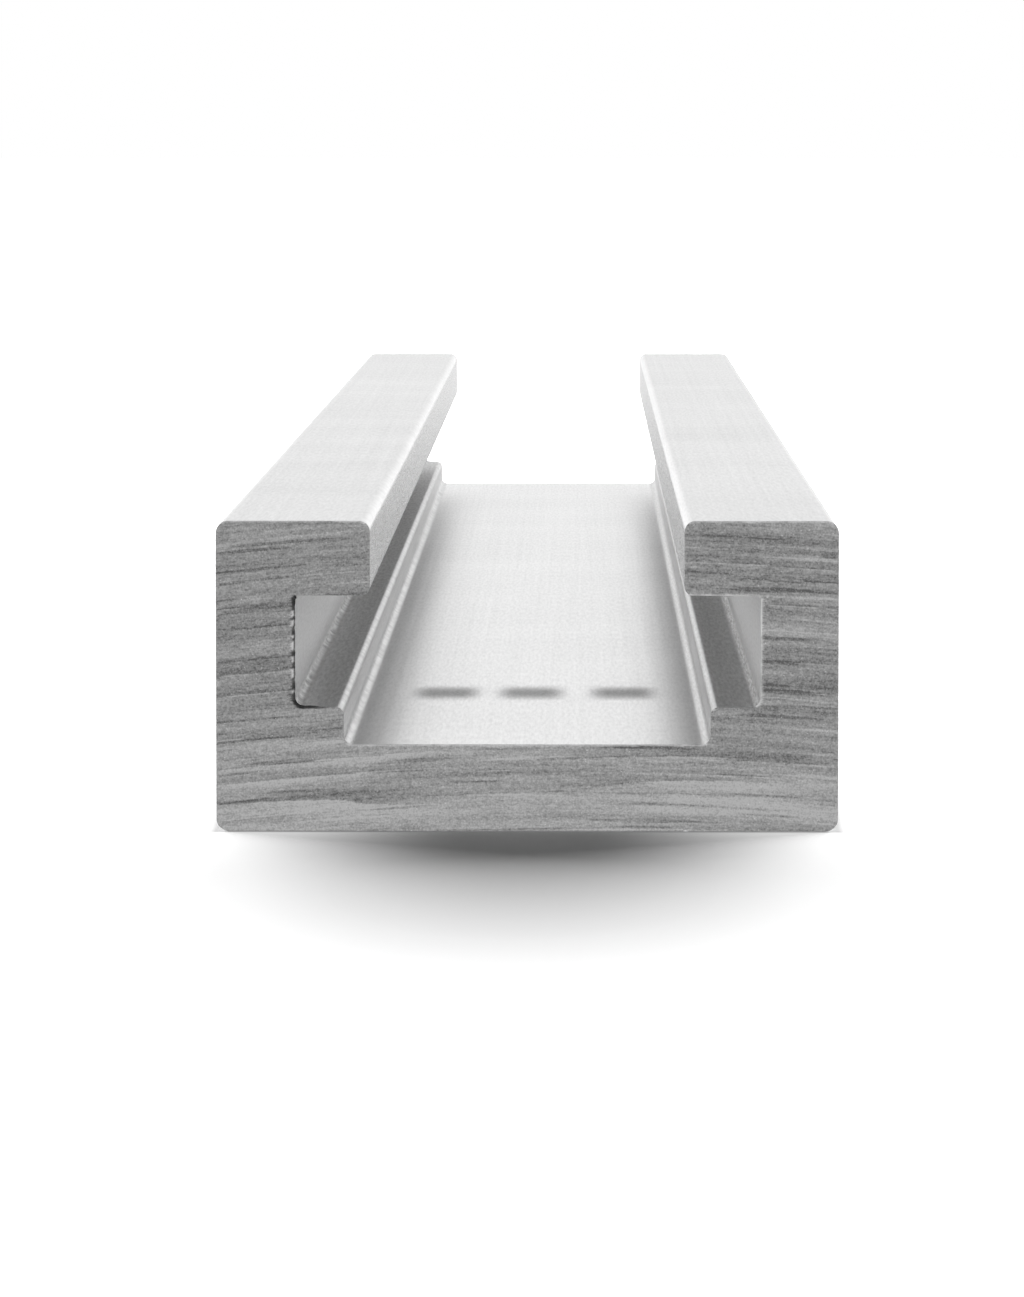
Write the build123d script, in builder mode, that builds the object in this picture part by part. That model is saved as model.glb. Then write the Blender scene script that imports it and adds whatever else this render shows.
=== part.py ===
from build123d import *
import os

# Slotted aluminium profile: one length of extruded stock, sawn square at both ends.
# The section lies in XZ and rests on z = 0 with its slot open upwards. The length runs along Y.

# Overall sizes, mm
profile_length = 150.0
profile_width = 20.0
profile_height = 10.0

# Walls, mm
side_wall = 2.5
base_thickness = 2.8

# Lips that reach in over the slot, and ledges beside the shallow channel in its floor, mm
lip_thickness = 2.4
lip_overhang = 2.45
ledge_width = 1.6
channel_depth = 1.2

# Rounds that the die leaves along the edges, mm
outer_radius = 0.4
lip_top_radius = 0.35
lip_underside_radius = 0.3
undercut_roof_radius = 0.15
undercut_floor_radius = 0.3
ledge_radius = 0.25
channel_radius = 0.3

# Places worked out from the sizes above
outer_side = profile_width / 2
undercut_side = outer_side - side_wall
slot_side = undercut_side - lip_overhang
channel_side = undercut_side - ledge_width
lip_underside = profile_height - lip_thickness
ledge_height = base_thickness + channel_depth

# Corners of the section's right half, from the base round to the channel's floor, each with its round
right_corners = [
    ((outer_side, 0), outer_radius),
    ((outer_side, profile_height), outer_radius),
    ((slot_side, profile_height), lip_top_radius),
    ((slot_side, lip_underside), lip_underside_radius),
    ((undercut_side, lip_underside), undercut_roof_radius),
    ((undercut_side, ledge_height), undercut_floor_radius),
    ((channel_side, ledge_height), ledge_radius),
    ((channel_side, base_thickness), channel_radius),
]
left_corners = [((-x, z), radius) for (x, z), radius in reversed(right_corners)]
points, radii = zip(*right_corners, *left_corners)

os.makedirs("parts", exist_ok=True)

with BuildPart() as t_slot_profile:
    with BuildSketch(Plane.XZ):
        with BuildLine():
            FilletPolyline(*points, radius=radii, close=True)
        make_face()
    extrude(amount=profile_length / 2, both=True)

t_slot_profile.part.label = "t_slot_profile"
export_step(t_slot_profile.part, "parts/t_slot_profile.step")
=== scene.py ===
"""Slotted aluminium profile: its satin extruded skin, its saw-marked ends and the stage it is shown on."""

import math

import bpy
import numpy as np
from bpy.props import FloatProperty, FloatVectorProperty, IntProperty, PointerProperty
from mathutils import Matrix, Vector, noise
from mathutils.geometry import delaunay_2d_cdt


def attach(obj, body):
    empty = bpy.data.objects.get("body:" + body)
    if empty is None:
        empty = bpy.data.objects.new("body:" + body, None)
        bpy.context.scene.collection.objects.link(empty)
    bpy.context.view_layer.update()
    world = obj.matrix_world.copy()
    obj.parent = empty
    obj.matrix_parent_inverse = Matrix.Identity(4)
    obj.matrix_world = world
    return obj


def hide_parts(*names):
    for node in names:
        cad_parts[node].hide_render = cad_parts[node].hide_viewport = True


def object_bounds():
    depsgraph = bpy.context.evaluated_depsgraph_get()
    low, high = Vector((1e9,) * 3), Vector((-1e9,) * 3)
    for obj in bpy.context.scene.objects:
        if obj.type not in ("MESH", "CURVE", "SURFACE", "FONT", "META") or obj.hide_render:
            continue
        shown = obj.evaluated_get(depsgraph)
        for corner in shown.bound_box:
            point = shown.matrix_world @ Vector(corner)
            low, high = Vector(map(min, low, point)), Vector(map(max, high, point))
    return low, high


bl_info = {
    "name": "Slotted aluminium profile",
    "version": (1, 0, 0),
    "blender": (4, 5, 0),
    "location": "View3D > Sidebar > Profile",
    "description": "Dresses a sawn length of extruded aluminium profile and lays it on a pale studio floor",
    "category": "Add Mesh",
}

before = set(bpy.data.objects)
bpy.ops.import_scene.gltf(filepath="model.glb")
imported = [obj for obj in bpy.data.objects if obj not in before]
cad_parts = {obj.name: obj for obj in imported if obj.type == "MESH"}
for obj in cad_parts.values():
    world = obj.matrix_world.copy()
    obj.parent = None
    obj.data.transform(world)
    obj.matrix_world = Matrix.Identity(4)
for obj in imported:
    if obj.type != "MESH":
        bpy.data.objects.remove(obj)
cad_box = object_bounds()
lowest, highest = (Vector(corner) for corner in cad_box)

NODE = "t_slot_profile"
PIECE = "sawn_profile"
MM = 0.001
SNAP = 1e-4 * MM
SKIN, SAWN = 0, 1

# Places in the section: x from the middle, z from the base
LIP_SIDE = 5.05 * MM
CHANNEL_SIDE = 5.9 * MM
UNDERCUT_SIDE = 7.5 * MM
CHANNEL_FLOOR = 2.8 * MM
LEDGE = 4.0 * MM
LIP_UNDERSIDE = 7.6 * MM
UNDERCUT_ROUND = 0.3 * MM

# How close to a face counts as on it, and how far from its edge the widest round reaches
NEAR = 0.1 * MM
ROUNDS = 0.45 * MM

# Saw marks: their size across the blade's arc, and along it
STEPS_APART = (0.9 * MM, 24 * MM)
STEP_PATCHES = (1.5 * MM, 6 * MM)
BROAD_BANDS = (0.6 * MM, 14 * MM)
NARROW_BANDS = (0.2 * MM, 4 * MM)
STREAKS = (0.13 * MM, 4 * MM)
SCRATCHES = (0.09 * MM, 5 * MM)
HAIRLINES = (0.07 * MM, 0.9 * MM)
TORN_LINES = (0.05 * MM, 0.25 * MM)
TORN_GRAIN = 0.055 * MM
# Size of the painted glints on the sawn face
GLINTS = 0.045 * MM
FRONT_SEED, BACK_SEED = 217, 88

# The foot of an end is lighter, partly from smoother saw marks and partly as painted light against the
# shadowed floor it faces, and fades into the rest
LIGHTER_FOOT = 1.2 * MM
FOOT_FADE = 2.4 * MM

# Cut edges: how ragged they are, and where the burr painted black as shadow and the edges with painted
# highlights lie, as x from the middle
RAGGED = 0.35 * MM
FINELY_RAGGED = 0.12 * MM
GLINT_SPECKS = 0.17 * MM
BURR_FROM = 6.4 * MM
BURR_END = 6.3 * MM
BURR_FADE = 0.7 * MM
BURR_CORNER = 0.9 * MM
BRIGHT_FROM = 5.2 * MM
FOOT_SPECKS_FROM = 3 * MM

# Skin: the width and length of its lines, the size of its grain, and how far behind a cut it is plain
DIE_LINES = (0.22 * MM, 60 * MM)
SKIN_STREAKS = (0.1 * MM, 1.2 * MM)
SKIN_GRAIN = 0.09 * MM
SKIN_PATCHES = 7 * MM
SKIN_START = 0.4 * MM

# Texture map: the ends fill most of it, and the skin is a strip beside them
END_SIZE, END_GAP, MAP_MARGIN = 0.69, 0.01, 0.004
STRIP, EDGE_STRIP = 0.70, 0.004

# Shadow on the floor: its shape past an end, and along the sides, where the floor's glow, painted light over
# the lamps' shadow, is held back
SHADOW_HALF_WIDTH = 8.5 * MM
SHADOW_LENGTH = 50 * MM
SHADOW_SPREAD = 0.3
CONTACT_WIDTH = 0.3 * MM
CONTACT_SPREAD = 0.04

PANEL_DISTANCE = 0.6
FLOOR_REACH = 4.0


def length_property(name, description, default):
    """A length in metres that the sidebar shows with its unit."""
    return FloatProperty(
        name=name, description=description, default=default, subtype="DISTANCE", unit="LENGTH", precision=6
    )


def colour_property(name, description, default):
    """A linear colour that the sidebar shows as a swatch."""
    return FloatVectorProperty(
        name=name, description=description, default=default, subtype="COLOR", size=3, min=0, max=1
    )


def angle_property(name, description, degrees):
    """An angle that the sidebar shows in degrees."""
    return FloatProperty(name=name, description=description, default=math.radians(degrees), subtype="ANGLE")


def level_property(name, description, default):
    """How bright something looks, where 1 is white."""
    return FloatProperty(
        name=name, description=description, default=default, subtype="FACTOR", min=0, soft_max=4
    )


class SawnEndSettings(bpy.types.PropertyGroup):
    """How the saw left the two ends."""

    arc_radius: length_property("Arc radius", "Radius of the saw marks at half the height", 110 * MM)
    arc_side: length_property("Arc side", "How far right of the middle the saw marks crest", 1.9 * MM)
    mark_depth: length_property("Mark depth", "Depth of the deepest saw mark", 0.02 * MM)
    recess: length_property("Recess", "How far the cut lies inside the profile's full length", 0.05 * MM)
    edge_break: length_property("Edge break", "Width of the broken edge around the cut", 0.03 * MM)
    burr: length_property("Burr", "How far the burr leans out over the slot", 0.07 * MM)
    row_step: length_property("Row step", "Distance between the mesh rows across the marks", 0.035 * MM)
    column_step: length_property("Column step", "Distance between mesh points along the marks", 0.14 * MM)


class SkinSettings(bpy.types.PropertyGroup):
    """The skin that the die drew along the length."""

    line_depth: length_property("Die line depth", "Depth of the deepest die line", 0.006 * MM)
    line_width: length_property("Die line width", "Usual width of a die line", 0.35 * MM)
    outline_step: length_property("Outline step", "Step between mesh points round the section", 0.10 * MM)
    bands: IntProperty(name="Bands", description="Mesh bands along the length", default=14, min=2)


class InkSettings(bpy.types.PropertyGroup):
    """The plain ink dashes across the channel's floor."""

    places: FloatVectorProperty(
        name="Dash places",
        description="Each dash's place across the channel",
        default=(-2.95 * MM, 0, 3.2 * MM),
        size=3,
        unit="LENGTH",
    )
    width: length_property("Dash width", "Size of a dash across the channel", 1.95 * MM)
    length: length_property("Dash length", "Size of a dash along the channel", 3.7 * MM)
    from_end: length_property("From the end", "Distance from the front end to the dashes", 18.8 * MM)


class FinishSettings(bpy.types.PropertyGroup):
    """Colours of the finishes."""

    skin: colour_property("Skin", "Satin skin", (0.725, 0.725, 0.725))
    # Colour of the painted sheen inside the slot
    painted_sheen: colour_property("Rubbed skin", "Skin rubbed bright inside the slot", (0.95, 0.95, 0.95))
    # Colour of the painted shade in the slot's corners and on its ledges
    painted_corner_shade: colour_property("Dirt", "Dull metal in the inner corners", (0.17, 0.17, 0.17))
    # The sawn colours are darker than the skin partly as rough torn metal is, and partly as painted shade of
    # an end that gets less light than the tops
    sawn_dark: colour_property("Sawn, dark", "Torn metal between the saw marks", (0.16, 0.16, 0.16))
    sawn_light: colour_property("Sawn, light", "Smeared metal on the saw marks", (0.58, 0.58, 0.58))
    # The bright edge colour is painted light: highlights on broken edges, and glints
    painted_edge_highlight: colour_property("Bright edge", "Bright broken edges and glints", (0.95, 0.95, 0.95))
    # The burr's colour is painted shadow: black for the shade in the gap where it folds into the undercut
    burr: colour_property("Burr", "Black burr along the undercut", (0.01, 0.01, 0.01))
    ink: colour_property("Ink", "Worn ink of the dashes", (0.05, 0.05, 0.05))


class StageSettings(bpy.types.PropertyGroup):
    """The floor, the lamps and the camera."""

    floor: colour_property("Floor", "Pale floor", (0.8, 0.8, 0.8))
    distance: length_property("Camera distance", "From the front end to the camera", 204.04 * MM)
    side: length_property("Camera side", "Camera's place right of the middle", 1.61 * MM)
    height: length_property("Camera height", "Camera's height over the floor", 22.67 * MM)
    pitch: angle_property("Pitch", "How far the camera looks down", 4.697)
    yaw: angle_property("Yaw", "How far the camera looks left", 0.588)
    lens: FloatProperty(
        name="Lens", description="Focal length on a 36 mm sensor", default=177.03, unit="CAMERA"
    )
    front_level: level_property("Front", "Brightness of the room in front of the sawn end", 0.9)
    ceiling_level: level_property("Ceiling", "Brightness of the room overhead", 0.75)
    ambient_level: level_property("Ambient", "Light from all round on matt surfaces", 0.1)
    back_level: level_property("Back panel", "Brightness of the wide low panel behind", 0.36)
    left_card_level: level_property("Left card", "Brightness of the left card in the metal", 0.45)
    right_card_level: level_property("Right card", "Brightness of the right card in the metal", 0.42)
    box_power: FloatProperty(
        name="Soft boxes", description="Power of each soft box", default=10.5, unit="POWER"
    )


def cad_outline():
    """The section's outline as x, z points, anticlockwise, read off the CAD solid's front end."""
    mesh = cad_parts[NODE].data
    rim = set()
    for polygon in mesh.polygons:
        corners = [mesh.vertices[i].co for i in polygon.vertices]
        if any(corner.y - lowest.y > SNAP for corner in corners):
            continue
        keys = [(round(corner.x / SNAP), round(corner.z / SNAP)) for corner in corners]
        for start, end in zip(keys, keys[1:] + keys[:1]):
            if (end, start) in rim:
                rim.remove((end, start))
            else:
                rim.add((start, end))
    following = dict(rim)
    loop = [min(following)]
    while following[loop[-1]] != loop[0]:
        loop.append(following[loop[-1]])
    return np.array(loop) * SNAP


def spaced(loop, step):
    """The loop with its long runs divided so that no two points lie much more than a step apart."""
    runs = []
    for start, end in zip(loop, np.roll(loop, -1, axis=0)):
        count = max(1, round(np.linalg.norm(end - start) / step))
        runs.append(start + (end - start) * (np.arange(count) / count)[:, None])
    return np.vstack(runs)


def outward(loop):
    """Each point's direction out of the metal."""
    ahead = np.roll(loop, -1, axis=0) - loop
    ahead /= np.linalg.norm(ahead, axis=1)[:, None]
    tangent = ahead + np.roll(ahead, 1, axis=0)
    tangent /= np.linalg.norm(tangent, axis=1)[:, None]
    return np.stack([tangent[:, 1], -tangent[:, 0]], axis=1)


def inside(points, loop, margin):
    """Which points lie within the loop, at least a margin from it."""
    within = np.zeros(len(points), bool)
    nearest = np.full(len(points), np.inf)
    for start, end in zip(loop, np.roll(loop, -1, axis=0)):
        run = end - start
        reach = points - start
        share = np.clip(reach @ run / (run @ run), 0, 1)
        nearest = np.minimum(nearest, np.linalg.norm(reach - share[:, None] * run, axis=1))
        spans = (start[1] > points[:, 1]) != (end[1] > points[:, 1])
        if abs(run[1]) > SNAP:
            within ^= spans & (points[:, 0] < start[0] + reach[:, 1] * run[0] / run[1])
    return within & (nearest > margin)


def noise_at(*coordinates):
    """Smooth noise from -1 to 1 at each point."""
    columns = np.broadcast_arrays(*coordinates)
    return np.array([noise.noise(point) for point in np.stack(columns, axis=1).tolist()])


def arc_centre(saw):
    """The saw blade's centre as x, z. It lay under the profile."""
    return np.array([saw.arc_side, (lowest.z + highest.z) / 2 - saw.arc_radius])


def arc_coordinates(points, saw):
    """How far out from the blade's centre each x, z point lies, and how far along the blade's arc."""
    spoke = points - arc_centre(saw)
    return np.linalg.norm(spoke, axis=1), np.arctan2(spoke[:, 0], spoke[:, 1]) * saw.arc_radius


def saw_marks(points, saw, seed):
    """How deep the saw tore each x, z point of an end, from 0, smeared smooth, to 1."""
    across, along = arc_coordinates(points, saw)

    def layer(size, turn):
        return noise_at(across / size[0], along / size[1], seed + turn)

    # A step is dark above a sharp line and fades upwards, and it shows only here and there
    step, run = STEPS_APART
    sweep = across / step + 1.6 * noise_at(across / (2 * step), along / run, seed)
    fade = 0.5 - (sweep - np.floor(sweep))
    here = np.clip(0.4 + 2 * layer(STEP_PATCHES, 5), 0, 1)
    streaks = np.clip((layer(STREAKS, 1) - 0.3) / 0.15, 0, 1)
    scratches = np.clip((layer(SCRATCHES, 6) - 0.4) / 0.1, 0, 1)
    # Lighter towards the foot: partly smoother saw marks, partly painted light
    over_foot = np.clip((points[:, 1] - lowest.z - LIGHTER_FOOT) / FOOT_FADE, 0, 1)
    depth = 0.6 * fade * here + 0.25 * layer(BROAD_BANDS, 3) + 0.25 * layer(NARROW_BANDS, 4)
    depth += 0.35 * streaks - 0.25 * scratches + 0.18 * layer(HAIRLINES, 2) + 0.25 * over_foot
    return np.clip(0.28 + depth, 0, 1)


def rows_of_marks(saw):
    """Points in rows along the saw's arcs, staggered from row to row, over the whole end."""
    corners = np.array([(x, z) for x in (lowest.x, highest.x) for z in (lowest.z, highest.z)])
    across, along = arc_coordinates(corners, saw)
    nearest = arc_coordinates(np.array([(saw.arc_side, lowest.z)]), saw)[0][0]
    radii = np.arange(nearest, across.max(), saw.row_step)
    places = np.arange(along.min() - saw.column_step, along.max(), saw.column_step)
    radius, place = np.meshgrid(radii, places, indexing="ij")
    place = place + saw.column_step / 2 * (np.arange(len(radii)) % 2)[:, None]
    angle = place / saw.arc_radius
    points = np.stack([radius * np.sin(angle), radius * np.cos(angle)], axis=-1).reshape(-1, 2)
    return points + arc_centre(saw)


def end_triangles(rim, points, stretch):
    """Triangles that fill the rim through the points, long and thin along the marks."""
    flat = [Vector((x / MM / stretch, z / MM)) for x, z in np.vstack([rim, points])]
    found = delaunay_2d_cdt(flat, [], [list(range(len(rim)))], 1, 1e-7)
    origin = [owners[0] for owners in found[3]]
    return [[origin[i] for i in triangle] for triangle in found[2]]


def edge_tones(outline, normals, seed):
    """The look of the cut edge round an end: -1 is a burr painted black as the shadow in its gap, 0 plain and
    1 a broken edge with a painted highlight.
    """
    x, z = outline[:, 0], outline[:, 1]
    facing_x, facing_z = normals[:, 0], normals[:, 1]
    ragged = noise_at(x / RAGGED, z / RAGGED, seed)
    fine = noise_at(x / FINELY_RAGGED, z / FINELY_RAGGED, seed + 7)
    undercut = (z > LEDGE - NEAR) & (z < LIP_UNDERSIDE + NEAR)
    left = undercut & (x < -BURR_FROM)
    right = undercut & (x > BRIGHT_FROM)
    from_middle = np.abs(z - (LIP_UNDERSIDE + LEDGE) / 2)
    from_corner = np.abs(from_middle - (LIP_UNDERSIDE - LEDGE) / 2)
    corner = 1 - np.clip(from_corner / BURR_CORNER, 0, 1)
    tones = np.zeros(len(outline))
    # Painted shadow: the burr's face and its run along the ledge are black for the shade in the gap where it
    # folds into the undercut
    tones = np.where(left & (facing_x > 0.5), -0.85 - 0.15 * corner + 0.6 * np.abs(fine), tones)
    thinning = np.clip((-x - BURR_END) / BURR_FADE, 0, 1)
    tones = np.where(left & (facing_z > 0.3), np.minimum(0, 0.4 * fine - thinning), tones)
    # Painted highlights on the right undercut's edges and the channel floor's and tops' front edges, and
    # painted glints along the foot
    tones = np.where(right & (facing_x < -0.5), 0.6 + 0.4 * ragged, tones)
    tones = np.where(right & (facing_z < -0.3), 0.5 + 0.5 * ragged, tones)
    upper = (facing_z > 0.8) & ((z < CHANNEL_FLOOR + 2 * NEAR) | (z > highest.z - ROUNDS))
    tones = np.where(upper, 0.45 + 0.4 * ragged, tones)
    foot = (facing_z < -0.5) & (z < lowest.z + ROUNDS) & (x > FOOT_SPECKS_FROM)
    tones = np.where(foot & (ragged > 0.2) & (fine > 0.1), 1.0, tones)
    return np.clip(tones, -1, 1)


def rim_tones(outline, tones, seed):
    """The look of the sawn face along its rim: as the edge, but with painted glints as bright specks beside
    an upright burr.
    """
    x, z = outline[:, 0], outline[:, 1]
    torn = noise_at(x / GLINT_SPECKS, z / GLINT_SPECKS, seed + 3) > 0.05
    beside_wall = (z > LEDGE + UNDERCUT_ROUND) & (z < LIP_UNDERSIDE - UNDERCUT_ROUND)
    return np.where(torn & (tones < 0) & beside_wall, 0.6, 0.8 * tones)


def slot_wear(outline, normals):
    """Painted light on the skin inside the slot: over 0 is painted shade, on the undercuts' rounds, the
    channel's rounds and the ledges, and under 0 a painted sheen, on the lips' sides, the undercuts' walls and
    the channel's floor.
    """
    x, z = np.abs(outline[:, 0]), outline[:, 1]
    upright = np.abs(normals[:, 0])
    bent = 2 * upright * np.abs(normals[:, 1])
    in_reach = x < UNDERCUT_SIDE + NEAR
    outer = x > UNDERCUT_SIDE - ROUNDS
    undercut = outer & in_reach & (z > LEDGE - NEAR) & (z < LIP_UNDERSIDE + NEAR)
    channel = ~outer & (z > CHANNEL_FLOOR - NEAR) & (z < LEDGE + NEAR)
    floor = channel & (upright < 0.1) & (z < CHANNEL_FLOOR + 2 * NEAR)
    ledge = in_reach & (x > CHANNEL_SIDE + 2 * NEAR) & (z > LEDGE - NEAR) & (z < LEDGE + UNDERCUT_ROUND)
    lip = (x < LIP_SIDE + ROUNDS) & (z > LIP_UNDERSIDE - NEAR)
    # Painted shade: darkest on the undercuts' rounds, less on the ledges and least on the channel's rounds
    dim_tone = np.maximum(bent * (undercut + 0.35 * channel), 0.42 * ledge)
    # Painted sheen: on the lips' upright sides, fainter on the undercuts' walls and the channel's floor
    painted_sheen = np.clip(upright - bent, 0, 1) * (lip + 0.4 * undercut) + 0.18 * floor
    return dim_tone - painted_sheen


class Section:
    """The section's outline, its directions out of the metal, its painted shade and sheen in the slot and the
    points that fill an end.
    """

    def __init__(self, saw, skin):
        corners = cad_outline()
        self.outline = spaced(corners, skin.outline_step)
        self.normals = outward(self.outline)
        self.wear = slot_wear(self.outline, self.normals)
        self.rim = self.outline - self.normals * saw.edge_break
        marked = rows_of_marks(saw)
        self.inner = marked[inside(marked, corners, saw.edge_break + saw.row_step / 2)]
        self.triangles = end_triangles(self.rim, self.inner, saw.column_step / saw.row_step)

    def ring(self, shift, y):
        """A row of points round the section, shifted out of the metal, at a place along the length."""
        count = len(self.outline)
        places = self.outline + self.normals * np.broadcast_to(shift, count)[:, None]
        return np.column_stack([places[:, 0], np.broadcast_to(y, count), places[:, 1]])


class ProfileMesh:
    """Gathers the rows of points, the faces and the surface marks of the profile."""

    def __init__(self, count):
        self.count = count
        self.points = []
        self.marks = {"edge_tone": [], "saw_mark": [], "slot_wear": []}
        self.faces = []
        self.kinds = []
        self.places = []

    def add_points(self, points, **marks):
        """Adds points with their marks, 0 where none are given, and returns the first one's number."""
        first = sum(len(rows) for rows in self.points)
        self.points.append(points)
        for name, values in self.marks.items():
            values.append(np.broadcast_to(marks.get(name, 0), len(points)))
        return first

    def add_band(self, near, far, kind, near_u, far_u):
        """Joins two rows round the section by quads."""
        for k in range(self.count):
            after = (k + 1) % self.count
            self.faces.append((near + k, far + k, far + after, near + after))
            self.kinds.append(kind)
            low, high = k / self.count, (k + 1) / self.count
            self.places.append(((near_u, low), (far_u, low), (far_u, high), (near_u, high)))

    def add_end(self, triangles, numbers, places, turned):
        """Closes an end with triangles."""
        for triangle in triangles:
            order = triangle[::-1] if turned else triangle
            self.faces.append([numbers[i] for i in order])
            self.kinds.append(SAWN)
            self.places.append([places[i] for i in order])

    def build(self, name):
        """Makes the mesh with its marks, its materials' places and its texture map."""
        mesh = bpy.data.meshes.new(name)
        mesh.from_pydata(np.vstack(self.points).tolist(), [], self.faces)
        mesh.polygons.foreach_set("material_index", self.kinds)
        for attribute, values in self.marks.items():
            layer = mesh.attributes.new(attribute, "FLOAT", "POINT")
            layer.data.foreach_set("value", np.concatenate(values).astype(np.float32))
        layout = mesh.uv_layers.new(name="OFBake")
        corners = [place for face in self.places for place in face]
        layout.data.foreach_set("uv", np.array(corners, np.float32).ravel())
        mesh.shade_smooth()
        mesh.set_sharp_from_angle(angle=math.radians(40))
        mesh.validate()
        return mesh


def add_end_rows(made, section, saw, end, inwards, seed):
    """Adds an end's rows, from the sawn face's rim to the skin, and its inner points. Gives their numbers."""
    tones = edge_tones(section.outline, section.normals, seed)
    rim_look = rim_tones(section.outline, tones, seed)
    rim_marks = saw_marks(section.rim, saw, seed)
    inner_marks = saw_marks(section.inner, saw, seed)
    leaning = saw.burr * np.clip(-tones, 0, 1)
    crest = np.where(tones < -0.1, 0, saw.recess + saw.edge_break)
    root = saw.recess + 4 * saw.edge_break
    rim_row = section.ring(-saw.edge_break, end + inwards * (saw.recess + saw.mark_depth * rim_marks))
    crest_row = section.ring(leaning, end + inwards * crest)
    root_row = section.ring(0.3 * leaning, end + inwards * root)
    face = end + inwards * (saw.recess + saw.mark_depth * inner_marks)
    inner_points = np.column_stack([section.inner[:, 0], face, section.inner[:, 1]])
    return {
        "rim": made.add_points(rim_row, edge_tone=rim_look, saw_mark=rim_marks),
        "crest": made.add_points(crest_row, edge_tone=tones, saw_mark=0.5),
        "root": made.add_points(root_row, edge_tone=0.5 * tones, saw_mark=0.5, slot_wear=section.wear),
        "inner": made.add_points(inner_points, saw_mark=inner_marks),
    }


def join_rows(made, front, back, body):
    """Joins the rows from the front's rim to the back's: two sawn bands at each end, and skin between."""
    body_u = np.linspace(STRIP + 3 * EDGE_STRIP, 1 - 3 * EDGE_STRIP, len(body))
    rows = [(front[name], STRIP + k * EDGE_STRIP) for k, name in enumerate(("rim", "crest", "root"))]
    rows += zip(body, body_u)
    rows += [(back[name], 1 - k * EDGE_STRIP) for k, name in ((2, "root"), (1, "crest"), (0, "rim"))]
    bands = list(zip(rows, rows[1:]))
    for number, ((near, near_u), (far, far_u)) in enumerate(bands):
        kind = SKIN if 2 <= number < len(bands) - 2 else SAWN
        made.add_band(near, far, kind, near_u, far_u)


def close_ends(made, section, ends):
    """Closes both ends with triangles, each in its own place on the texture map."""
    corner = np.array([lowest.x, lowest.z])
    flat = (np.vstack([section.rim, section.inner]) - corner) / (highest.x - lowest.x) * END_SIZE + MAP_MARGIN
    for number, (end, turned) in enumerate(zip(ends, (False, True))):
        numbers = [end["rim"] + k for k in range(len(section.rim))]
        numbers += [end["inner"] + k for k in range(len(section.inner))]
        places = (flat + np.array([0, number * 0.5 * (END_SIZE + END_GAP)])).tolist()
        made.add_end(section.triangles, numbers, places, turned)


def profile_mesh(saw, skin):
    """The whole profile as one closed mesh: drawn skin, broken cut edges and saw-marked ends."""
    section = Section(saw, skin)
    made = ProfileMesh(len(section.outline))
    front = add_end_rows(made, section, saw, lowest.y, 1, FRONT_SEED)
    back = add_end_rows(made, section, saw, highest.y, -1, BACK_SEED)
    across = section.outline / skin.line_width
    die_lines = skin.line_depth * np.clip(noise_at(across[:, 0], across[:, 1], 3.3), 0, 1)
    stations = np.linspace(lowest.y + SKIN_START, highest.y - SKIN_START, skin.bands + 1)
    body = [made.add_points(section.ring(-die_lines, y), slot_wear=section.wear) for y in stations]
    join_rows(made, front, back, body)
    close_ends(made, section, (front, back))
    return made.build(PIECE)


def add_node(tree, kind, inputs=None, **settings):
    """Adds a shader node with its settings, and links or fills its inputs by name or number."""
    made = tree.nodes.new("ShaderNode" + kind)
    for name, value in settings.items():
        setattr(made, name, value)
    for key, value in (inputs or {}).items():
        if isinstance(value, bpy.types.NodeSocket):
            tree.links.new(value, made.inputs[key])
        else:
            made.inputs[key].default_value = value
    return made


def maths(tree, operation, *values, clamp=False):
    """One sum of a shader, as its output socket."""
    return add_node(tree, "Math", dict(enumerate(values)), operation=operation, use_clamp=clamp).outputs[0]


def distance(tree, along, across):
    """The length of a step along and across, as an output socket."""
    squares = [maths(tree, "POWER", side, 2) for side in (along, across)]
    return maths(tree, "SQRT", maths(tree, "ADD", *squares))


def remap(tree, value, low, high, to_low, to_high, smooth=False):
    """Spreads a value from one range over another, as an output socket."""
    inputs = {"Value": value, "From Min": low, "From Max": high, "To Min": to_low, "To Max": to_high}
    made = add_node(tree, "MapRange", inputs, interpolation_type="SMOOTHSTEP" if smooth else "LINEAR")
    return made.outputs["Result"]


def new_group(name, inputs, output):
    """An empty shader group with value inputs and one value output, and its input and output nodes."""
    group = bpy.data.node_groups.new(name, "ShaderNodeTree")
    for label, default in inputs.items():
        socket = group.interface.new_socket(label, in_out="INPUT", socket_type="NodeSocketFloat")
        socket.default_value = default
    group.interface.new_socket(output, in_out="OUTPUT", socket_type="NodeSocketFloat")
    return group, group.nodes.new("NodeGroupInput"), group.nodes.new("NodeGroupOutput")


def drawn_lines_group():
    """Long thin lines, as a tool or a die leaves them, from 0 to 1."""
    group, entry, leave = new_group(
        "Drawn lines", {"Across": 0, "Along": 0, "Width": 0.2 * MM, "Length": 8 * MM, "Seed": 0}, "Lines"
    )
    place = add_node(
        group,
        "CombineXYZ",
        {
            "X": maths(group, "DIVIDE", entry.outputs["Across"], entry.outputs["Width"]),
            "Y": maths(group, "DIVIDE", entry.outputs["Along"], entry.outputs["Length"]),
            "Z": entry.outputs["Seed"],
        },
    )
    inputs = {"Vector": place.outputs[0], "Scale": 1, "Detail": 2, "Roughness": 0.6}
    lines = add_node(group, "TexNoise", inputs)
    group.links.new(lines.outputs["Fac"], leave.inputs["Lines"])
    return group


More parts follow.
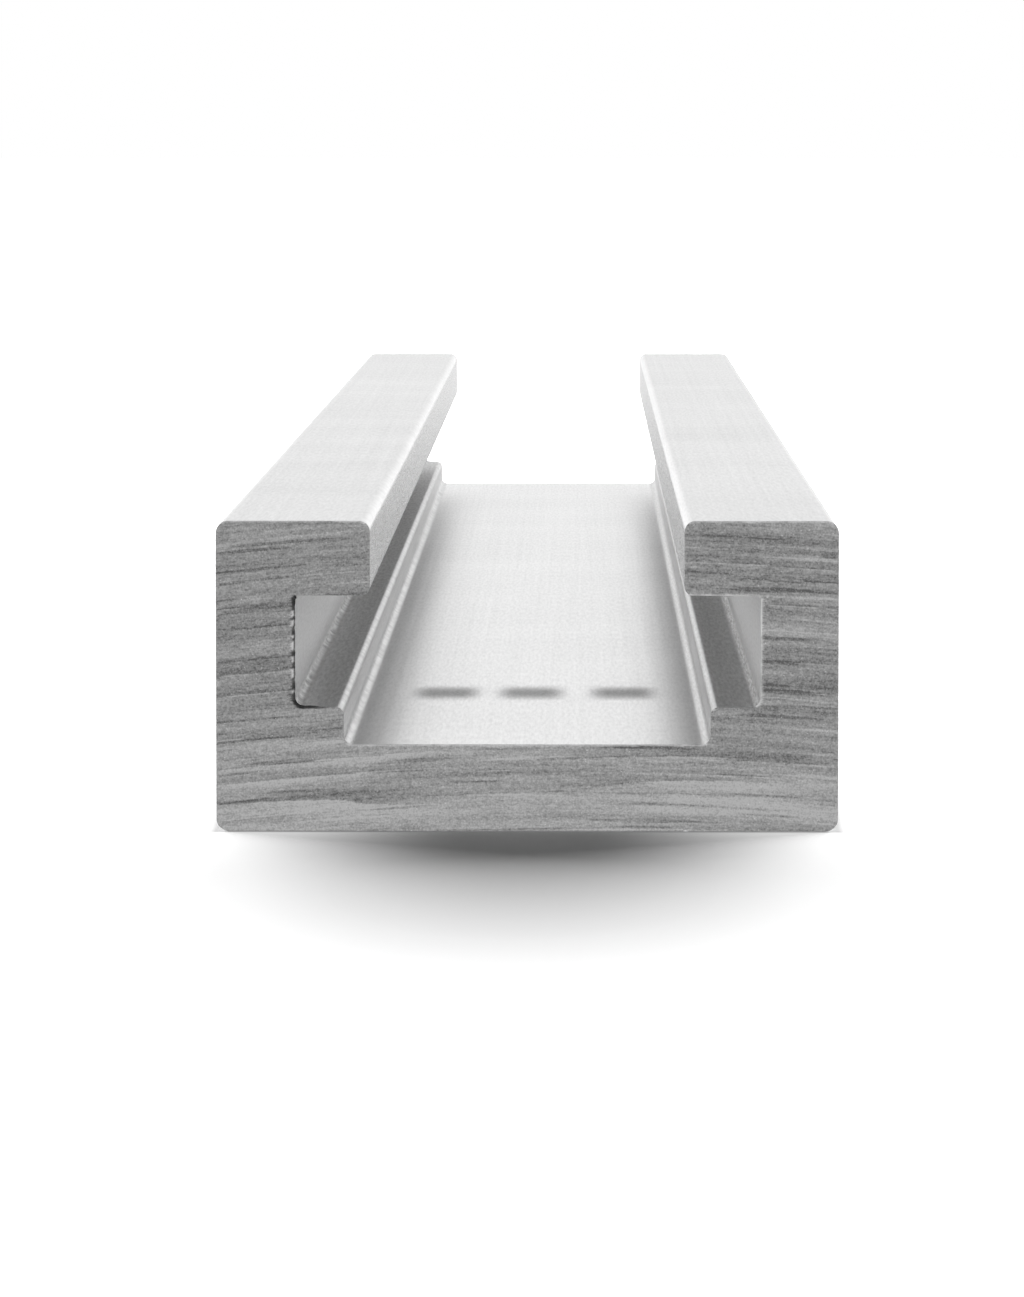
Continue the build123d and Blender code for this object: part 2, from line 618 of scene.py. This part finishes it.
def metal_grain_group():
    """Fine even speckle of rough metal, from 0 to 1."""
    group, entry, leave = new_group("Metal grain", {"Size": 0.06 * MM, "Seed": 0}, "Grain")
    coordinates = add_node(group, "TexCoord").outputs["Object"]
    scale = maths(group, "DIVIDE", 1, entry.outputs["Size"])
    place = {"Vector": coordinates, "W": entry.outputs["Seed"], "Scale": scale}
    speckle = add_node(
        group, "TexNoise", {**place, "Detail": 1, "Roughness": 0.5}, noise_dimensions="4D"
    )
    group.links.new(speckle.outputs["Fac"], leave.inputs["Grain"])
    return group


def place_group(tree, group, **inputs):
    """Places a shader group in a material with its own values, and gives its output."""
    return add_node(tree, "Group", inputs, node_tree=group).outputs[0]


def lines_at(tree, groups, across, along, size, seed):
    """Drawn lines of a width and a length, from 0 to 1, as an output socket."""
    width, length = size
    return place_group(
        tree, groups["lines"], Across=across, Along=along, Width=width, Length=length, Seed=seed
    )


def mix_colours(tree, share, first, second):
    """Blends two colours, as an output socket."""
    inputs = {0: share, 6: first, 7: second}
    return add_node(tree, "Mix", inputs, data_type="RGBA").outputs[2]


def opaque(colour):
    """A colour with its alpha."""
    return (*colour, 1)


def metal_material(name):
    """A bare metal material, its tree and its shader."""
    material = bpy.data.materials.new(name)
    material.use_nodes = True
    tree = material.node_tree
    shader = next(node for node in tree.nodes if node.type == "BSDF_PRINCIPLED")
    shader.inputs["Metallic"].default_value = 1
    return material, tree, shader


def object_axes(tree):
    """The piece's own x, y and z."""
    coordinates = add_node(tree, "TexCoord").outputs["Object"]
    return add_node(tree, "SeparateXYZ", {0: coordinates}).outputs


def within(tree, value, centre, half, soft):
    """1 where the value lies within half a size of the centre, with soft edges."""
    off = maths(tree, "ABSOLUTE", maths(tree, "SUBTRACT", value, centre))
    return remap(tree, off, half - soft, half + soft, 1, 0, smooth=True)


def ink_mask(tree, axes, ink):
    """1 on the ink dashes across the channel's floor, fading at their ends."""
    dashes = [within(tree, axes["X"], place, ink.width / 2, ink.width / 4) for place in ink.places]
    across = maths(tree, "MAXIMUM", dashes[0], maths(tree, "MAXIMUM", dashes[1], dashes[2]))
    along = within(tree, axes["Y"], lowest.y + ink.from_end, ink.length / 2, ink.length / 2.2)
    floor = within(tree, axes["Z"], CHANNEL_FLOOR, 2 * NEAR, NEAR / 5)
    return maths(tree, "MULTIPLY", across, maths(tree, "MULTIPLY", along, floor))


def skin_material(groups, finish, ink):
    """Satin extruded aluminium: grain, faint die lines, painted shade and a painted sheen in the slot, and
    the ink dashes.
    """
    material, tree, shader = metal_material("satin_extruded_skin")
    axes = object_axes(tree)
    # A slanted measure, so that the lines show on level and upright faces alike
    around = maths(tree, "MULTIPLY_ADD", axes["Z"], 1.37, axes["X"])
    lines = lines_at(tree, groups, around, axes["Y"], DIE_LINES, 1)
    streaks = lines_at(tree, groups, around, axes["Y"], SKIN_STREAKS, 8)
    grain = place_group(tree, groups["grain"], Size=SKIN_GRAIN, Seed=2)
    patches = place_group(tree, groups["grain"], Size=SKIN_PATCHES, Seed=4)
    drawn = maths(tree, "MULTIPLY_ADD", lines, 0.2, maths(tree, "MULTIPLY", streaks, 0.5))
    pitted = maths(tree, "MULTIPLY_ADD", patches, 0.15, maths(tree, "MULTIPLY", grain, 0.15))
    look = maths(tree, "ADD", drawn, pitted)
    dim_tone = [0.78 * channel for channel in finish.skin]
    metal = mix_colours(tree, remap(tree, look, 0.35, 0.65, 0, 1), opaque(dim_tone), opaque(finish.skin))
    wear = add_node(tree, "Attribute", attribute_name="slot_wear").outputs["Fac"]
    # Painted sheen on the slot's walls and floor, broken up by the streaks
    painted_sheen = maths(tree, "MULTIPLY", wear, remap(tree, streaks, 0.35, 0.65, -0.65, -1.1), clamp=True)
    sheened = mix_colours(tree, painted_sheen, metal, opaque(finish.painted_sheen))
    # Painted shade in the slot's corners and on its ledges, broken up by the streaks
    corner_shade_share = maths(tree, "MULTIPLY", wear, remap(tree, streaks, 0.35, 0.65, 1, 0.5), clamp=True)
    shaded = mix_colours(tree, corner_shade_share, sheened, opaque(finish.painted_corner_shade))
    worn = maths(tree, "MULTIPLY", ink_mask(tree, axes, ink), remap(tree, grain, 0.3, 0.7, 0.72, 0.52))
    tree.links.new(mix_colours(tree, worn, shaded, opaque(finish.ink)), shader.inputs["Base Color"])
    tree.links.new(maths(tree, "SUBTRACT", 1, worn), shader.inputs["Metallic"])
    satin = remap(tree, look, 0.35, 0.65, 0.40, 0.36)
    smoother = maths(tree, "MULTIPLY_ADD", painted_sheen, -0.14, satin)
    rougher = maths(tree, "MULTIPLY_ADD", maths(tree, "MAXIMUM", corner_shade_share, worn), 0.2, smoother)
    tree.links.new(rougher, shader.inputs["Roughness"])
    bump = add_node(tree, "Bump", {"Strength": 0.2, "Distance": 0.01 * MM, "Height": look})
    tree.links.new(bump.outputs[0], shader.inputs["Normal"])
    return material


def sawn_material(groups, finish, saw):
    """Sawn aluminium: arcs of torn and smeared metal, and a broken or burred edge, with painted highlights
    and glints, and the burr painted black as shadow.
    """
    material, tree, shader = metal_material("sawn_end")
    axes = object_axes(tree)
    centre = arc_centre(saw)
    run = maths(tree, "SUBTRACT", axes["X"], float(centre[0]))
    rise = maths(tree, "SUBTRACT", axes["Z"], float(centre[1]))
    across = distance(tree, run, rise)
    along = maths(tree, "MULTIPLY", maths(tree, "ARCTAN2", run, rise), saw.arc_radius)
    # The ends lie apart along Y, so each has its own lines
    seed = maths(tree, "MULTIPLY", axes["Y"], 40)
    fine = lines_at(tree, groups, across, along, TORN_LINES, seed)
    grain = place_group(tree, groups["grain"], Size=TORN_GRAIN, Seed=5)
    mark = add_node(tree, "Attribute", attribute_name="saw_mark").outputs["Fac"]
    tone = add_node(tree, "Attribute", attribute_name="edge_tone").outputs["Fac"]
    texture = maths(tree, "MULTIPLY_ADD", fine, 0.4, maths(tree, "MULTIPLY", grain, 0.6))
    torn = maths(tree, "ADD", mark, remap(tree, texture, 0.25, 0.75, -0.45, 0.45), clamp=True)
    metal = mix_colours(tree, torn, opaque(finish.sawn_light), opaque(finish.sawn_dark))
    # Painted glints on the face, and painted highlights on the broken edges
    glints = place_group(tree, groups["grain"], Size=GLINTS, Seed=11)
    bright = maths(tree, "MAXIMUM", tone, remap(tree, glints, 0.68, 0.78, 0, 0.6))
    # Painted shadow blackens the burr
    painted_shadow = maths(tree, "MAXIMUM", maths(tree, "MULTIPLY", tone, -1), 0)
    with_highlights = mix_colours(tree, bright, metal, opaque(finish.painted_edge_highlight))
    with_burr_shadow = mix_colours(tree, painted_shadow, with_highlights, opaque(finish.burr))
    tree.links.new(with_burr_shadow, shader.inputs["Base Color"])
    tree.links.new(maths(tree, "SUBTRACT", 1, painted_shadow), shader.inputs["Metallic"])
    rough = remap(tree, torn, 0, 1, 0.42, 0.56)
    tree.links.new(maths(tree, "MULTIPLY_ADD", painted_shadow, 0.4, rough), shader.inputs["Roughness"])
    bump = add_node(tree, "Bump", {"Strength": 0.4, "Distance": 0.02 * MM, "Height": texture})
    tree.links.new(bump.outputs[0], shader.inputs["Normal"])
    return material


class PROFILE_OT_add_profile(bpy.types.Operator):
    """Add the sawn length of profile in place of its CAD solid"""

    bl_idname = "profile.add_profile"
    bl_label = "Add the profile"

    def execute(self, context):
        settings = context.scene
        groups = {"lines": drawn_lines_group(), "grain": metal_grain_group()}
        mesh = profile_mesh(settings.sawn_ends, settings.drawn_skin)
        mesh.materials.append(skin_material(groups, settings.finishes, settings.ink_dashes))
        mesh.materials.append(sawn_material(groups, settings.finishes, settings.sawn_ends))
        piece = bpy.data.objects.new(PIECE, mesh)
        context.scene.collection.objects.link(piece)
        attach(piece, "root")
        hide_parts(NODE)
        return {"FINISHED"}


def floor_material(colour):
    """Pale matt floor that shows white to the camera and in the metal, and keeps the profile's shadow where
    its glow is held back; elsewhere the glow is painted light over the lamps' shadow.
    """
    material = bpy.data.materials.new("pale_floor")
    material.use_nodes = True
    tree = material.node_tree
    tree.nodes.clear()
    axes = object_axes(tree)
    past_side = maths(tree, "SUBTRACT", maths(tree, "ABSOLUTE", axes["X"]), highest.x)
    past_end = maths(tree, "SUBTRACT", maths(tree, "ABSOLUTE", axes["Y"]), highest.y)
    past_end = maths(tree, "MAXIMUM", past_end, 0)

    # Where the glow is held back, so that the shadow shows: past an end it widens on its way out, and along
    # the sides on its way back
    half_width = maths(tree, "MULTIPLY_ADD", past_end, SHADOW_SPREAD, SHADOW_HALF_WIDTH)
    aside = maths(tree, "DIVIDE", axes["X"], half_width)
    beyond = maths(tree, "DIVIDE", past_end, SHADOW_LENGTH)
    open_floor = remap(tree, distance(tree, aside, beyond), 0.2, 1.15, 0, 1, smooth=True)
    from_front = maths(tree, "MAXIMUM", maths(tree, "SUBTRACT", axes["Y"], lowest.y), 0)
    reach = maths(tree, "MULTIPLY_ADD", from_front, CONTACT_SPREAD, CONTACT_WIDTH)
    gap = maths(tree, "DIVIDE", maths(tree, "MAXIMUM", past_side, past_end), reach)
    beside = remap(tree, gap, 0, 1, 0.2, 1, smooth=True)
    far = remap(tree, distance(tree, axes["X"], axes["Y"]), 0.2, 0.5, 0.6, 1, smooth=True)
    white = remap(tree, open_floor, 0, 1, 0.02, maths(tree, "MULTIPLY", far, beside))
    path = add_node(tree, "LightPath")
    strength = maths(tree, "MULTIPLY", path.outputs["Is Camera Ray"], white)
    matt = add_node(tree, "BsdfDiffuse", {"Color": opaque(colour)})
    glow = add_node(tree, "Emission", {"Color": (1, 1, 1, 1), "Strength": strength})
    lit = add_node(tree, "AddShader", {0: matt.outputs[0], 1: glow.outputs[0]})
    in_metal = add_node(tree, "Emission", {"Color": opaque(colour), "Strength": 1})
    seen = add_node(
        tree, "MixShader", {0: path.outputs["Is Glossy Ray"], 1: lit.outputs[0], 2: in_metal.outputs[0]}
    )
    out = add_node(tree, "OutputMaterial", {"Surface": seen.outputs[0]})
    out.is_active_output = True
    return material


def add_floor(context, stage):
    """The pale floor, far wider than the view."""
    mesh = bpy.data.meshes.new("floor")
    under = lowest.z - NEAR / 10
    corners = [(x * FLOOR_REACH, y * FLOOR_REACH, under) for x, y in ((-1, -1), (1, -1), (1, 1), (-1, 1))]
    mesh.from_pydata(corners, [], [(0, 1, 2, 3)])
    mesh.materials.append(floor_material(stage.floor))
    floor = bpy.data.objects.new("floor", mesh)
    context.scene.collection.objects.link(floor)


def add_panel(context, name, azimuth, elevation, size, power, on_metal, on_floor):
    """A soft panel that faces the profile from an azimuth off +Y, for its metal, the floor or both."""
    light = bpy.data.lights.new(name, "AREA")
    light.shape = "RECTANGLE"
    light.size, light.size_y = size
    light.energy = power
    lamp = bpy.data.objects.new(name, light)
    around, up = math.radians(azimuth), math.radians(elevation)
    away = Vector((math.sin(around) * math.cos(up), math.cos(around) * math.cos(up), math.sin(up)))
    lamp.location = PANEL_DISTANCE * away
    lamp.rotation_euler = (-away).to_track_quat("-Z", "Y").to_euler()
    lamp.visible_camera = False
    lamp.visible_glossy = on_metal
    lamp.visible_diffuse = on_floor
    context.scene.collection.objects.link(lamp)


def panel_power(level, size):
    """The power that makes a panel look as bright as its level, where 1 is white."""
    return level * math.pi * size[0] * size[1]


def add_panels(context, stage):
    """A wide low panel behind, and on each side a soft box for the floor and a card for the metal."""
    back_size, box_size, card_size = (0.9, 0.3), (0.6, 0.2), (0.9, 0.4)
    back_rise, side_rise = 17, 15
    box_turn, card_turn = 36, 50
    back_power = panel_power(stage.back_level, back_size)
    add_panel(context, "back_panel", 0, back_rise, back_size, back_power, on_metal=True, on_floor=True)
    for side, sign, level in (("left", -1, stage.left_card_level), ("right", 1, stage.right_card_level)):
        box, box_power = f"{side}_soft_box", stage.box_power
        card, card_power = f"{side}_card", panel_power(level, card_size)
        add_panel(
            context, box, sign * box_turn, side_rise, box_size, box_power, on_metal=False, on_floor=True
        )
        add_panel(
            context, card, sign * card_turn, side_rise, card_size, card_power, on_metal=True, on_floor=False
        )


def add_camera(context, stage):
    """The camera, close in front of the near end and a little above it."""
    camera = bpy.data.objects.new("camera", bpy.data.cameras.new("camera"))
    camera.data.lens = stage.lens
    camera.data.sensor_width = 36
    camera.data.clip_start = 0.01
    camera.location = (stage.side, lowest.y - stage.distance, stage.height)
    camera.rotation_euler = (math.pi / 2 - stage.pitch, 0, stage.yaw)
    context.scene.collection.objects.link(camera)
    context.scene.camera = camera


def add_world(context, stage):
    """Surroundings that the camera sees as white, and the metal as a pale room with a darker ceiling."""
    world = bpy.data.worlds.new("studio")
    world.use_nodes = True
    tree = world.node_tree
    tree.nodes.clear()
    towards = add_node(tree, "SeparateXYZ", {0: add_node(tree, "TexCoord").outputs["Generated"]}).outputs
    walls = remap(tree, towards["Y"], -0.4, 0.4, stage.front_level, 1, smooth=True)
    ceiling = remap(tree, towards["Z"], 0.1, 0.7, 1, stage.ceiling_level, smooth=True)
    room = maths(tree, "MULTIPLY", walls, ceiling)
    path = add_node(tree, "LightPath")
    in_metal = remap(tree, path.outputs["Is Glossy Ray"], 0, 1, stage.ambient_level, room)
    seen = maths(tree, "MAXIMUM", path.outputs["Is Camera Ray"], path.outputs["Is Transmission Ray"])
    strength = remap(tree, seen, 0, 1, in_metal, 1)
    background = add_node(tree, "Background", {"Color": (1, 1, 1, 1), "Strength": strength})
    add_node(tree, "OutputWorld", {"Surface": background.outputs[0]})
    context.scene.world = world


class PROFILE_OT_add_stage(bpy.types.Operator):
    """Add the floor, the lamps, the surroundings and the camera"""

    bl_idname = "profile.add_stage"
    bl_label = "Add the stage"

    def execute(self, context):
        stage = context.scene.stage_settings
        add_floor(context, stage)
        add_panels(context, stage)
        add_world(context, stage)
        add_camera(context, stage)
        context.scene.view_settings.view_transform = "Standard"
        return {"FINISHED"}


class PROFILE_PT_sidebar(bpy.types.Panel):
    """Lists the profile's settings and the steps that build it"""

    bl_idname = "PROFILE_PT_sidebar"
    bl_label = "Profile"
    bl_space_type = "VIEW_3D"
    bl_region_type = "UI"
    bl_category = "Profile"

    def draw(self, context):
        for label, name, settings in SETTINGS:
            box = self.layout.box()
            box.label(text=label)
            for key in settings.__annotations__:
                box.prop(getattr(context.scene, name), key)
        for step in STEPS:
            self.layout.operator(step.bl_idname)


SETTINGS = (
    ("Sawn ends", "sawn_ends", SawnEndSettings),
    ("Drawn skin", "drawn_skin", SkinSettings),
    ("Ink dashes", "ink_dashes", InkSettings),
    ("Finishes", "finishes", FinishSettings),
    ("Stage", "stage_settings", StageSettings),
)
STEPS = (PROFILE_OT_add_profile, PROFILE_OT_add_stage)


def register():
    for _, name, settings in SETTINGS:
        bpy.utils.register_class(settings)
        setattr(bpy.types.Scene, name, PointerProperty(type=settings))
    for shown in (*STEPS, PROFILE_PT_sidebar):
        bpy.utils.register_class(shown)


def unregister():
    for shown in (PROFILE_PT_sidebar, *reversed(STEPS)):
        bpy.utils.unregister_class(shown)
    for _, name, settings in reversed(SETTINGS):
        delattr(bpy.types.Scene, name)
        bpy.utils.unregister_class(settings)


def main():
    register()
    bpy.ops.profile.add_profile()
    bpy.ops.profile.add_stage()


if __name__ == "__main__":
    main()
